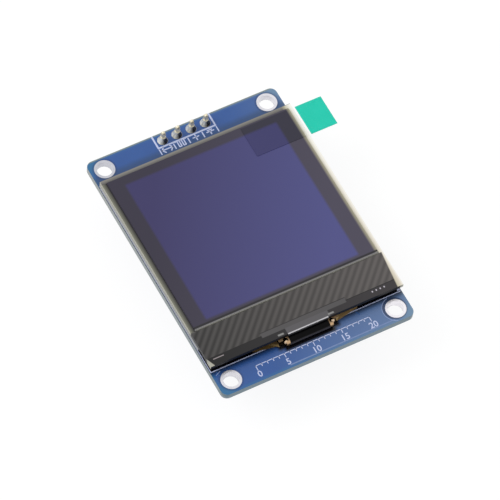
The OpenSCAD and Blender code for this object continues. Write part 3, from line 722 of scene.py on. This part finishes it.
# Painted light: the hatch and the dark strip are painted lighter towards the right
from_left = plate_finish.calc("ADD", px, ledge_half_w)
ledge_light_gradient = plate_finish.calc("DIVIDE", from_left, 2 * ledge_half_w, clamp=True)
hatch_dark = plate_finish.mix(ledge_light_gradient, srgb(30, 29, 28), srgb(72, 68, 67))
hatch_light = plate_finish.mix(ledge_light_gradient, srgb(72, 70, 69), srgb(99, 94, 92))
hatch = plate_finish.mix(stripes, hatch_dark, hatch_light)
strip = plate_finish.mix(ledge_light_gradient, srgb(2, 1, 2), srgb(51, 47, 50))
ledge = plate_finish.mix(plate_finish.step(py, strip_y, 0.04), strip, hatch)
ledge = plate_finish.paint(ledge, srgb(12, 9, 11), plate_finish.band(py, strip_y - 0.05, strip_y + 0.07))
ledge = patched(ledge, srgb(79, 77, 78), (-head_side, strip_y - 0.35), (head_side, strip_y + 0.5), 0.05)
rim_side = head_side + 0.1
ledge = patched(ledge, srgb(40, 37, 38), (-rim_side, strip_y + 0.45), (rim_side, strip_y + 0.58), 0.04)
ledge = patched(ledge, srgb(88, 86, 89), (-3.5, past_edge), (3.95, strip_y - 0.3), 0.05)
# Painted highlights: a bright line along the glass edge at the neck of the cable, and glints at its sides
ledge = patched(ledge, srgb(200, 198, 202), (neck_left, past_edge), (neck_right, panel_low.y + 0.13), 0.04)
for glint_x in (-4.55, 4.25):
    glint_low = (glint_x - 0.5, panel_low.y + 0.25)
    glint_high = (glint_x + 0.5, panel_low.y + 0.55)
    ledge = patched(ledge, srgb(140, 140, 138), glint_low, glint_high, 0.06)
dash_low = (panel_low.x + 0.95, strip_y - 0.42)
dash_high = (panel_low.x + 2.8, strip_y - 0.28)
ledge = patched(ledge, srgb(160, 150, 152), dash_low, dash_high, 0.04)
first_tick_x = 11.9
tick_pitch = 0.7
for tick in range(4):
    tick_x = first_tick_x + tick_pitch * tick
    tick_low = (tick_x - 0.1, strip_y - 0.6)
    tick_high = (tick_x + 0.1, strip_y - 0.34)
    ledge = patched(ledge, srgb(200, 194, 204), tick_low, tick_high, 0.04)

# The ledge ends short of the right side, and margins of bare glass frame the polarizer. Their tones are
# painted
# light: the right margin pale to near white by its edge and towards the top, the top margin paler by its
# edge, and the left one dark by the polarizer and paler by its edge.
ledge_end_x = 18.05
ledge_end_slope = 0.115
left_edge_x = -16.6
right_margin_x = 15.6
bright_x = 16.25
brightest_x = 16.78
ledge_end = plate_finish.calc("ADD", px, plate_finish.times(py, -ledge_end_slope))
in_ledge = plate_finish.until(plate_finish.calc("SUBTRACT", ledge_end, ledge_end_x), 0, 0.08)
in_ledge = plate_finish.times(in_ledge, plate_finish.until(py, polar_low.y, 0.04))
left_fade = plate_finish.step(px, left_edge_x, 0.35)
left_margin = plate_finish.mix(left_fade, srgb(128, 128, 112), srgb(40, 38, 40))
top_fade = plate_finish.step(py, polar_high.y + 0.3, 0.32)
top_margin = plate_finish.mix(top_fade, srgb(84, 82, 84), srgb(138, 135, 128))
right_margin_light = plate_finish.mix(plate_finish.step(py, 0, 17), srgb(233, 224, 208), srgb(255, 253, 244))
right_margin_light = plate_finish.mix(plate_finish.step(px, brightest_x, 0.18), right_margin_light, srgb(255, 253, 245))
right_margin = plate_finish.mix(plate_finish.step(px, bright_x, 0.45), srgb(192, 186, 158), right_margin_light)
margin = plate_finish.mix(plate_finish.step(py, polar_high.y, 0.05), left_margin, top_margin)
margin = plate_finish.mix(plate_finish.step(px, right_margin_x, 0.3), margin, right_margin)
top_lip = plate_finish.step(py, panel_high.y - 0.07, 0.05)
margin = plate_finish.mix(top_lip, margin, srgb(74, 86, 110))
front_color = plate_finish.mix(in_ledge, margin, ledge)
# A painted highlight just under the polarizer's cut lower edge
edge_highlight_line = plate_finish.band(py, polar_low.y - 0.08, polar_low.y, 0.03)
front_color = plate_finish.paint(front_color, srgb(104, 102, 98), edge_highlight_line, in_ledge)

# Pale chip at the lower left corner
chip_w = 0.7
chip_h = 1.6
chip_line = plate_finish.calc("ADD", plate_finish.times(px, 1 / chip_w), plate_finish.times(py, 1 / chip_h))
whole = plate_finish.step(chip_line, panel_low.x / chip_w + panel_low.y / chip_h + 1, 0.08)
front_color = plate_finish.mix(whole, srgb(176, 174, 160), front_color)

# Ground sides, dark along the ledge, with painted shade on the ledge's front face, where the clear glass
# shows the dark space under it, and a painted highlight on the upper part of that face at the neck of the
# cable
wall = plate_finish.mix(plate_finish.noise(1.2, 3, (1, 1, 5)), srgb(156, 156, 144), srgb(184, 182, 168))
dark_from_y = -17.5
dark_to_x = 16.4
wall = plate_finish.paint(wall, srgb(46, 46, 48), plate_finish.band(py, dark_from_y, polar_low.y, 0.15))
front_face_shade = plate_finish.step(plate_finish.times(ny, -1), 0.6, 0.1)
wall = plate_finish.paint(wall, srgb(8, 7, 10), front_face_shade, plate_finish.until(px, dark_to_x, 0.15))
upper_half = plate_finish.step(pz, panel_high.z - 0.6, 0.06)
neck_wall = plate_finish.patch((neck_left, past_edge), (neck_right, panel_low.y + 0.17))
wall = plate_finish.paint(wall, srgb(255, 253, 255), upper_half, neck_wall)
plate_finish.color(plate_finish.mix(plate_finish.step(nz, 0.8, 0.1), wall, front_color))
plate_finish.roughness(0.5, 0.12, plate_finish.step(nz, 0.8, 0.1))
dress("front_glass", "front_plate", plate_finish, "glass", 0.05)

# ---------------------------------------------------------------------------------------------------------
# Driver chip under the ledge
# A long bare silicon chip bonded to the tracks, with a black resin coat over the rest of the ledge.

chip_finish = Finish("chip_silicon", srgb(50, 50, 56), 0.2)
chip_finish.mottle(srgb(44, 44, 52), srgb(62, 62, 68), 0.8)
coat_finish = Finish("resin_coat", srgb(16, 15, 17), 0.4)
coat_finish.mottle(srgb(12, 11, 13), srgb(24, 23, 25), 1.5, 3)
coat_finish.bumps(0.03, 2, 3)
dress("driver_chip", "long_chip", chip_finish, "chip_silicon", 0.02)
dress("ledge_coat", "ledge_resin", coat_finish, "black_resin", 0.04)

# ---------------------------------------------------------------------------------------------------------
# Folded flat cable
# Amber film with etched copper tracks, bonded under the ledge, folded round in a narrow neck with a black
# cover and soldered to the board by its tail. A bead of clear resin backs the neck along the glass.

shoulder_x = 5.3
amber_finish = Finish("amber_film", srgb(80, 60, 26), 0.3, Specular_IOR_Level=0.3)
_, ax, _, az = amber_finish.point()
near_neck = amber_finish.until(amber_finish.calc("ABSOLUTE", ax), shoulder_x, 0.25)
sheet_color = amber_finish.mix(amber_finish.noise(0.5, 2), srgb(84, 66, 38), srgb(104, 84, 50))
# Painted light: the right wing is painted lighter
sheet_color = amber_finish.paint(sheet_color, srgb(150, 124, 84), amber_finish.step(ax, 5, 1))
# Painted shade on the film near the neck, and on its bend there a painted light band and a painted highlight
sheet_color = amber_finish.paint(sheet_color, srgb(30, 22, 12), near_neck)
low_bend_light = amber_finish.band(az, 0.4, 0.95, 0.1)
sheet_color = amber_finish.paint(sheet_color, srgb(92, 72, 46), low_bend_light, near_neck)
bend_highlight = amber_finish.band(az, 0.95, 1.3, 0.08)
sheet_color = amber_finish.paint(sheet_color, srgb(214, 176, 132), bend_highlight, near_neck)
amber_finish.color(sheet_color)
amber_finish.sheen(0.2, 0.4, 1.5)
dress("flex_film", "cable_film", amber_finish, "amber_film", 0.01)

cover_finish = Finish("black_cover", srgb(5, 4, 5), 0.28, Specular_IOR_Level=0.07)
_, _, cover_up = cover_finish.facing()
# Painted light on the faces of the cover that turn down, along the lower side of its bend
lower_bend_light = cover_finish.until(cover_up, 0.45, 0.15)
cover_color = cover_finish.mix(cover_finish.noise(2, 3), srgb(3, 2, 3), srgb(8, 7, 8))
cover_finish.color(cover_finish.mix(lower_bend_light, cover_color, srgb(66, 64, 68)))
cover_finish.sheen(0.22, 0.36, 2)
dress("flex_cover", "cable_cover", cover_finish, "black_cover", 0.01)

bead_finish = Finish("resin_bead", srgb(226, 228, 228), 0.15, Specular_IOR_Level=0.2)
_, _, _, bead_z = bead_finish.point()
# The bead is dark, with painted light on its top
bead_top_light = bead_finish.step(bead_z, box_mm("resin_bead")[1].z - 0.1, 0.06)
bead_finish.color(bead_finish.mix(bead_top_light, srgb(8, 7, 9), srgb(60, 59, 61)))
dress("resin_bead", "neck_bead", bead_finish, "clear_resin", 0.03)
dress("flex_pads", "cable_lands", gold_finish, "gold", 0.01)
dress("flex_solder", "cable_solder", solder_finish, "solder", 0.02)

# Pale golden drops in the notches beside the neck, where the copper shows golden; the pale colour is a
# painted highlight
drop_highlight_finish = Finish("golden_highlight_drop", srgb(232, 200, 162), 0.25)
drop_highlight_finish.mottle(srgb(222, 184, 142), srgb(244, 220, 188), 3)
drop_r = 0.4
drop_z = 0.95
bpy.ops.object.select_all(action="DESELECT")
bpy.ops.mesh.primitive_uv_sphere_add(segments=20, ring_count=12, radius=drop_r * MM, location=(0, 0, 0))
first_drop = bpy.context.object
bpy.ops.object.mode_set(mode="EDIT")
bpy.ops.mesh.select_all(action="SELECT")
bpy.ops.transform.resize(value=(0.8, 0.55, 1.0))
bpy.ops.object.mode_set(mode="OBJECT")
for drop_x, in_from, name in ((-4.05, 0.5, "left"), (4.25, 0.68, "right")):
    drop = first_drop.copy()
    drop.data = first_drop.data.copy()
    drop.name = f"notch_highlight_{name}"
    drop.data.transform(Matrix.Translation(Vector((drop_x, cable_low.y + in_from, drop_z)) * MM))
    bpy.context.scene.collection.objects.link(drop)
    soften(drop, 0)
    show(drop, drop_highlight_finish, "amber_film")
bpy.data.objects.remove(first_drop)

# The film's front edge curls forward on each side of the neck, with a painted highlight golden along it, and
# painted light makes both sides lighter on the right
curl_finish = Finish("curled_film", srgb(96, 78, 44), 0.35)
_, cx, _, cz = curl_finish.point()
lighter_to_right = curl_finish.step(cx, 0, 1)
curl_front_highlight = curl_finish.mix(lighter_to_right, srgb(178, 150, 96), srgb(236, 204, 138))
curl_back = curl_finish.mix(lighter_to_right, srgb(96, 76, 46), srgb(128, 104, 68))
curl_finish.color(curl_finish.mix(curl_finish.step(cz, 0.24, 0.09), curl_front_highlight, curl_back))
curl_x = 7.4
curl_y = -18.5
curl_z = 0.22
curl_sheet = (4.6, 1.9, 1)
curl_w = 4.5
curl_flat = 0.2
curl_lift = 0.14
curl_t = 0.05
for side, name, inner_y, outer_y in ((-1, "left", -19.17, -18.42), (1, "right", -18.9, -18.1)):
    bpy.ops.object.select_all(action="DESELECT")
    bpy.ops.mesh.primitive_plane_add(size=MM, location=Vector((side * curl_x, curl_y, curl_z)) * MM)
    curl = bpy.context.object
    curl.name = f"cable_shoulder_{name}"
    bpy.ops.object.mode_set(mode="EDIT")
    bpy.ops.transform.resize(value=curl_sheet)
    rise = outer_y - inner_y
    along_edge = (-side * rise, curl_w, 0)
    bpy.ops.mesh.bisect(plane_co=Vector((side * shoulder_x, inner_y, 0)) * MM, plane_no=along_edge,
                        clear_inner=True)
    for back_off in (0.12, 0.3, 0.55):
        bpy.ops.mesh.select_all(action="SELECT")
        bpy.ops.mesh.bisect(plane_co=Vector((side * shoulder_x, inner_y + back_off, 0)) * MM,
                            plane_no=along_edge)
    shape = bmesh.from_edit_mesh(curl.data)
    for vert in shape.verts:
        place = (curl.matrix_world @ vert.co) / MM
        from_edge = place.y - inner_y - rise * (abs(place.x) - shoulder_x) / curl_w
        vert.select = from_edge > curl_flat
    shape.select_flush_mode()
    bmesh.update_edit_mesh(curl.data)
    bpy.ops.transform.translate(value=(0, 0, curl_lift * MM))
    bpy.ops.object.mode_set(mode="OBJECT")
    bpy.ops.object.transform_apply(location=True, rotation=True, scale=True)
    thick = curl.modifiers.new("film", "SOLIDIFY")
    thick.thickness = curl_t * MM
    bpy.ops.object.modifier_apply(modifier=thick.name)
    soften(curl, 0.01)
    show(curl, curl_finish, "amber_film")

# ---------------------------------------------------------------------------------------------------------
# Polarizer and clear film
# Dark violet film on the front glass under a clear protective film, so clear that the film carries the
# same colours. The lit area shows as a bluer square, painted light makes the film lighter towards the right,
# and the cut lower edge carries a painted highlight as a pale line.

lit_low, lit_high = box_mm("emitter_layer")
lit_shift_x = 0.28
lit_shift_y = 0.4
lit_soft = 0.22
pale_from_x = 15.94
pale_soft = 0.33
film_half_w = 16


def violet_look(name):
    """Dark violet film with the bluer lit area behind it, painted lighter towards the right as painted light
    """
    finish = Finish(name, srgb(34, 28, 52), 0.12)
    _, x, y, _ = finish.point()
    _, _, z_way = finish.facing()
    lit = finish.patch((lit_low.x - lit_shift_x, lit_low.y - lit_shift_y),
                       (lit_high.x - lit_shift_x, lit_high.y - lit_shift_y), lit_soft)
    # Painted light: border and lit area are painted lighter towards the right
    along = finish.calc("SUBTRACT", x, finish.times(finish.calc("SUBTRACT", y, 2), 0.55))
    film_light_gradient = finish.calc("DIVIDE", finish.calc("ADD", along, film_half_w), 2 * film_half_w, clamp=True)
    border = finish.mix(film_light_gradient, (0.020, 0.015, 0.038, 1), (0.054, 0.046, 0.079, 1))
    violet = finish.mix(film_light_gradient, (0.028, 0.022, 0.114, 1), (0.062, 0.064, 0.232, 1))
    top = finish.mix(lit, border, violet)
    # The right end is painted pale like the glass margin beside it, whose tone is painted light
    top = finish.paint(top, srgb(186, 180, 150), finish.step(x, pale_from_x, pale_soft))
    dark_line = finish.band(y, polar_low.y + 0.3, polar_low.y + 0.62, 0.1)
    top = finish.paint(top, (0.002, 0.001, 0.003, 1), dark_line)
    # Painted highlight: a pale line along the cut lower edge
    top = finish.mix(finish.step(y, polar_low.y + 0.24, 0.05), srgb(130, 129, 127), top)
    # The sides are painted pale as lit edges, and dark at the left end, as painted light and shade
    side = finish.mix(finish.step(x, polar_low.x + 0.3, 0.1), srgb(34, 30, 38), srgb(150, 150, 134))
    finish.color(finish.mix(finish.step(z_way, 0.7, 0.1), side, top))
    finish.sheen(0.08, 0.14, 0.5)
    return finish


dress("polarizer", "polarizer_film", violet_look("dark_polarizer"), "polarizer", 0.02)
dress("protective_film", "cover_film", violet_look("covered_polarizer"), "clear_film", 0.01)

# ---------------------------------------------------------------------------------------------------------
# Pull tape and grip
# Clear tape that peels the protective film off, with a green film grip. Over the panel the tape deepens
# the violet, and past the glass it is almost invisible.


def tape_part(name, finish, outer):
    """The stretch of tape over the panel, or the one past the glass"""
    piece = dress("pull_tape", name, finish, "pull_tape", 0)
    bpy.ops.object.mode_set(mode="EDIT")
    bpy.ops.mesh.select_all(action="SELECT")
    bpy.ops.mesh.bisect(plane_co=(polar_high.x * MM, 0, 0), plane_no=(1, 0, 0), use_fill=True,
                        clear_inner=outer, clear_outer=not outer)
    bpy.ops.mesh.select_all(action="SELECT")
    bpy.ops.mesh.normals_make_consistent(inside=False)
    bpy.ops.object.mode_set(mode="OBJECT")
    soften(piece, 0)
    return piece


laid_finish = Finish("tape_on_violet", srgb(30, 28, 60), 0.15)
_, lx, _, _ = laid_finish.point()
far_corner = (-20, -20)
over_lit = laid_finish.patch(far_corner, (lit_high.x - lit_shift_x, lit_high.y - lit_shift_y), lit_soft)
laid_color = laid_finish.mix(over_lit, (0.012, 0.010, 0.030, 1), (0.026, 0.024, 0.125, 1))
# The right end is painted pale like the glass margin, whose tone is painted light
laid_color = laid_finish.paint(laid_color, srgb(178, 174, 146), laid_finish.step(lx, pale_from_x, pale_soft))
laid_finish.color(laid_color)
laid_finish.sheen(0.1, 0.18, 1)
tape_part("tape_on_panel", laid_finish, False)
free_finish = Finish("clear_tape", srgb(240, 244, 244), 0.12, Alpha=0.02)
free_finish.sheen(0.1, 0.16, 1)
tape_part("tape_past_glass", free_finish, True)

grip_finish = Finish("green_grip", srgb(8, 208, 180), 0.4, Specular_IOR_Level=0.2)
grip_finish.mottle(srgb(0, 204, 175), srgb(16, 212, 186), 0.6)
grip_finish.bumps(0.01, 2, 3)
dress("pull_grip", "grip_film", grip_finish, "pull_grip", 0.01)

# ---------------------------------------------------------------------------------------------------------
# Studio
# White surroundings, a pale floor just under the module, one soft lamp on the left and the camera. What the
# camera and reflections see is brighter than what lights the module.


def seen_directly(tree):
    """1 for rays from the camera, from reflections and through glass"""
    path = tree.nodes.new("ShaderNodeLightPath")
    total = path.outputs["Is Camera Ray"]
    for name in ("Is Glossy Ray", "Is Transmission Ray"):
        most = tree.nodes.new("ShaderNodeMath")
        most.operation = "MAXIMUM"
        tree.links.new(total, most.inputs[0])
        tree.links.new(path.outputs[name], most.inputs[1])
        total = most.outputs[0]
    return total


world = bpy.data.worlds.new("white_tent")
bpy.context.scene.world = world
world.use_nodes = True
world_tree = world.node_tree
world_tree.nodes.clear()
lighting = world_tree.nodes.new("ShaderNodeBackground")
lighting.inputs["Strength"].default_value = 0.72
backdrop = world_tree.nodes.new("ShaderNodeBackground")
backdrop.inputs["Strength"].default_value = 1.0
for sky in (lighting, backdrop):
    sky.inputs["Color"].default_value = (1, 1, 1, 1)
choose_sky = world_tree.nodes.new("ShaderNodeMixShader")
world_output = world_tree.nodes.new("ShaderNodeOutputWorld")
world_tree.links.new(seen_directly(world_tree), choose_sky.inputs[0])
world_tree.links.new(lighting.outputs[0], choose_sky.inputs[1])
world_tree.links.new(backdrop.outputs[0], choose_sky.inputs[2])
world_tree.links.new(choose_sky.outputs[0], world_output.inputs["Surface"])

floor_gap = 0.0001
bpy.ops.mesh.primitive_plane_add(size=4, location=(0, 0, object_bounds()[0][2] - floor_gap))
floor = bpy.context.object
floor.name = "floor"
floor_mat = bpy.data.materials.new("pale_floor")
floor_mat.use_nodes = True
floor_tree = floor_mat.node_tree
floor_tree.nodes.clear()
plain = floor_tree.nodes.new("ShaderNodeBsdfDiffuse")
plain.inputs["Color"].default_value = (0.8, 0.8, 0.8, 1)
dim = floor_tree.nodes.new("ShaderNodeBsdfDiffuse")
dim.inputs["Color"].default_value = (0.16, 0.16, 0.16, 1)
glow = floor_tree.nodes.new("ShaderNodeEmission")
glow.inputs["Strength"].default_value = 0.88
seen_floor = floor_tree.nodes.new("ShaderNodeAddShader")
floor_tree.links.new(dim.outputs[0], seen_floor.inputs[0])
floor_tree.links.new(glow.outputs[0], seen_floor.inputs[1])
choose_floor = floor_tree.nodes.new("ShaderNodeMixShader")
floor_output = floor_tree.nodes.new("ShaderNodeOutputMaterial")
floor_tree.links.new(seen_directly(floor_tree), choose_floor.inputs[0])
floor_tree.links.new(plain.outputs[0], choose_floor.inputs[1])
floor_tree.links.new(seen_floor.outputs[0], choose_floor.inputs[2])
floor_tree.links.new(choose_floor.outputs[0], floor_output.inputs["Surface"])
floor.data.materials.append(floor_mat)

lamp = bpy.data.lights.new("soft_lamp", "AREA")
lamp.shape = "DISK"
lamp.size = 0.5
lamp.energy = 2.2
lamp_object = bpy.data.objects.new("soft_lamp", lamp)
bpy.context.scene.collection.objects.link(lamp_object)
lamp_at = Vector((-0.5, 0.25, 0.62))
lamp_object.location = lamp_at
lamp_object.rotation_euler = (-lamp_at).to_track_quat("-Z", "Y").to_euler()

azimuth, elevation, roll = (math.radians(a) for a in (-35.814, 58.628, 8.696))
distance = 733.994
aim = Vector((-0.905, -1.890, 0))
flat_part = math.cos(elevation)
back = Vector((math.sin(azimuth) * flat_part, -math.cos(azimuth) * flat_part, math.sin(elevation)))
right = Vector((math.cos(azimuth), math.sin(azimuth), 0))
upward = back.cross(right)
turned_right = right * math.cos(roll) + upward * math.sin(roll)
turned_up = upward * math.cos(roll) - right * math.sin(roll)
camera = bpy.data.cameras.new("camera")
camera.sensor_width = 36
camera.lens = 339.84
camera.clip_start = 0.01
camera.clip_end = 10
camera_object = bpy.data.objects.new("camera", camera)
bpy.context.scene.collection.objects.link(camera_object)
turn = Matrix((turned_right, turned_up, back)).transposed().to_4x4()
camera_object.matrix_world = Matrix.Translation((aim + back * distance) * MM) @ turn
bpy.context.scene.camera = camera_object
bpy.context.scene.view_settings.view_transform = "Standard"
